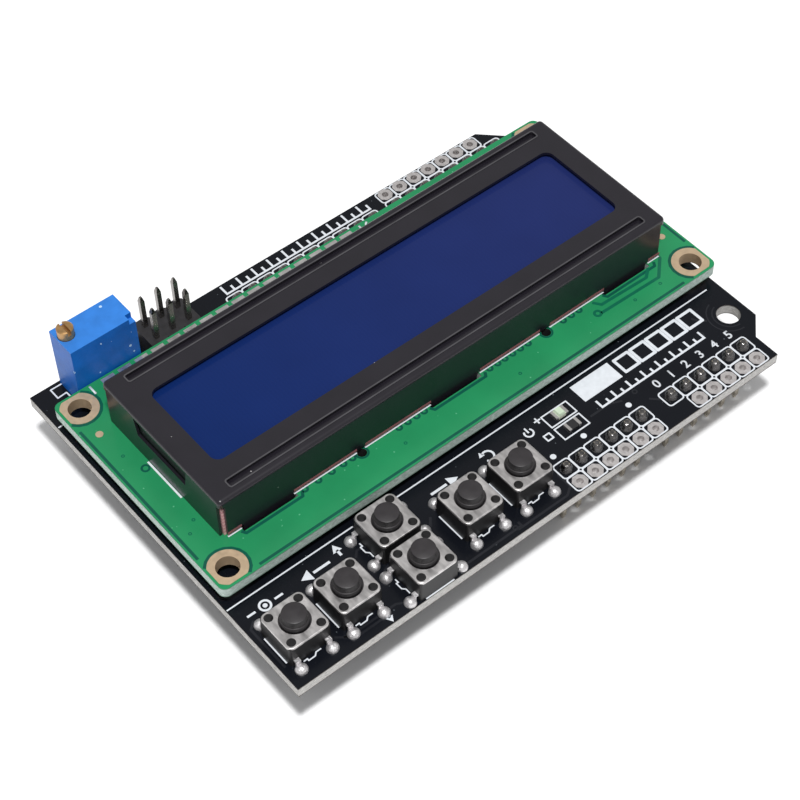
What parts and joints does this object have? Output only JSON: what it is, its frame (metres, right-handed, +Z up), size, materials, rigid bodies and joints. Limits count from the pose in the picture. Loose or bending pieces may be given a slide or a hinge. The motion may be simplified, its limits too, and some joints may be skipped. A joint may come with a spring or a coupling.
{
  "type": "lcd keypad shield",
  "caption": "Stacking circuit board with a raised character display in a black metal frame, a row of push keys, a contrast trimmer and rows of pins below.",
  "frame": {"origin": "middle of the outline, at the tips of the stacking pins", "axes": "+X along the long side to the right, +Y from the key edge to the far edge, +Z up out of the board"},
  "size_m": [0.0804, 0.0558, 0.0217],
  "materials": {
    "carrier_mask": "glossy solder mask with faint traces",
    "tinned_land": "tinned lands, slightly dull",
    "strip_plastic": "moulded, fine grain",
    "header_block": "moulded, fine grain",
    "pin_metal": "plated square pins with tinned solder",
    "display_pin_metal": "tinned pads and solder",
    "lamp_case": "ceramic white with metal ends",
    "lamp_lens": "clear moulded lens",
    "chip_case": "fired coating with metal ends",
    "package_plastic": "moulded package",
    "trimmer_case": "moulded blue plastic",
    "screw_brass": "turned, satin",
    "lead_metal": "tinned leads",
    "switch_base": "moulded, satin",
    "switch_cover": "pressed, bright",
    "key_cap": "moulded, matt",
    "snap_dome": "spring steel",
    "switch_leg": "tinned legs with solder",
    "display_mask": "green solder mask with traces",
    "ring_plating": "plated rings, satin",
    "chip_resin": "moulded resin",
    "frame_paint": "satin black paint on steel",
    "contact_rubber": "layered soft strip",
    "light_guide": "diffusing panel",
    "display_glass": "polished glass over blue film"
  },
  "bodies": {
    "board": {"shield_board": "carrier_mask", "breakout_pads": "tinned_land", "power_header": "strip_plastic", "analog_header": "strip_plastic", "digital_low_header": "strip_plastic", "digital_high_header": "strip_plastic", "icsp_header": "header_block", "lcd_header": "header_block", "header_pins": "pin_metal", "icsp_pins": "pin_metal", "lcd_header_pins": "display_pin_metal", "led_body": "lamp_case", "led_lens": "lamp_lens", "led_resistor": "chip_case", "ladder_resistors": "chip_case", "backlight_transistor": "package_plastic", "trimmer_body": "trimmer_case", "trimmer_leads": "lead_metal", "select_base": "switch_base", "left_base": "switch_base", "up_base": "switch_base", "down_base": "switch_base", "right_base": "switch_base", "reset_base": "switch_base", "select_plate": "switch_cover", "left_plate": "switch_cover", "up_plate": "switch_cover", "down_plate": "switch_cover", "right_plate": "switch_cover", "reset_plate": "switch_cover", "select_dome": "snap_dome", "left_dome": "snap_dome", "up_dome": "snap_dome", "down_dome": "snap_dome", "right_dome": "snap_dome", "reset_dome": "snap_dome", "select_legs": "switch_leg", "left_legs": "switch_leg", "up_legs": "switch_leg", "down_legs": "switch_leg", "right_legs": "switch_leg", "reset_legs": "switch_leg", "lcd_board": "display_mask", "lcd_rings": "ring_plating", "lcd_chips": "chip_resin", "lcd_bezel": "frame_paint", "zebra_near": "contact_rubber", "zebra_far": "contact_rubber", "backlight_panel": "light_guide", "lcd_glass": "display_glass"},
    "contrast_screw": {"trimmer_screw": "screw_brass"},
    "select_key": {"select_plunger": "key_cap"},
    "left_key": {"left_plunger": "key_cap"},
    "up_key": {"up_plunger": "key_cap"},
    "down_key": {"down_plunger": "key_cap"},
    "right_key": {"right_plunger": "key_cap"},
    "reset_key": {"reset_plunger": "key_cap"}
  },
  "joints": [
    {"name": "select_press", "type": "slide", "parent": "board", "child": "select_key", "axis": [0, 0, -1], "range_m": [0, 0.00025], "stiffness_N_per_m": 6400, "springref_m": -0.0002, "deforming": ["select_dome"]},
    {"name": "left_press", "type": "slide", "parent": "board", "child": "left_key", "axis": [0, 0, -1], "range_m": [0, 0.00025], "stiffness_N_per_m": 6400, "springref_m": -0.0002, "deforming": ["left_dome"]},
    {"name": "up_press", "type": "slide", "parent": "board", "child": "up_key", "axis": [0, 0, -1], "range_m": [0, 0.00025], "stiffness_N_per_m": 6400, "springref_m": -0.0002, "deforming": ["up_dome"]},
    {"name": "down_press", "type": "slide", "parent": "board", "child": "down_key", "axis": [0, 0, -1], "range_m": [0, 0.00025], "stiffness_N_per_m": 6400, "springref_m": -0.0002, "deforming": ["down_dome"]},
    {"name": "right_press", "type": "slide", "parent": "board", "child": "right_key", "axis": [0, 0, -1], "range_m": [0, 0.00025], "stiffness_N_per_m": 6400, "springref_m": -0.0002, "deforming": ["right_dome"]},
    {"name": "reset_press", "type": "slide", "parent": "board", "child": "reset_key", "axis": [0, 0, -1], "range_m": [0, 0.00025], "stiffness_N_per_m": 6400, "springref_m": -0.0002, "deforming": ["reset_dome"]},
    {"name": "contrast_turn", "type": "hinge", "parent": "board", "child": "contrast_screw", "pos_m": [-0.03451, 0.02553, 0.02017], "axis": [0, 0, 1], "continuous": true}
  ]
}
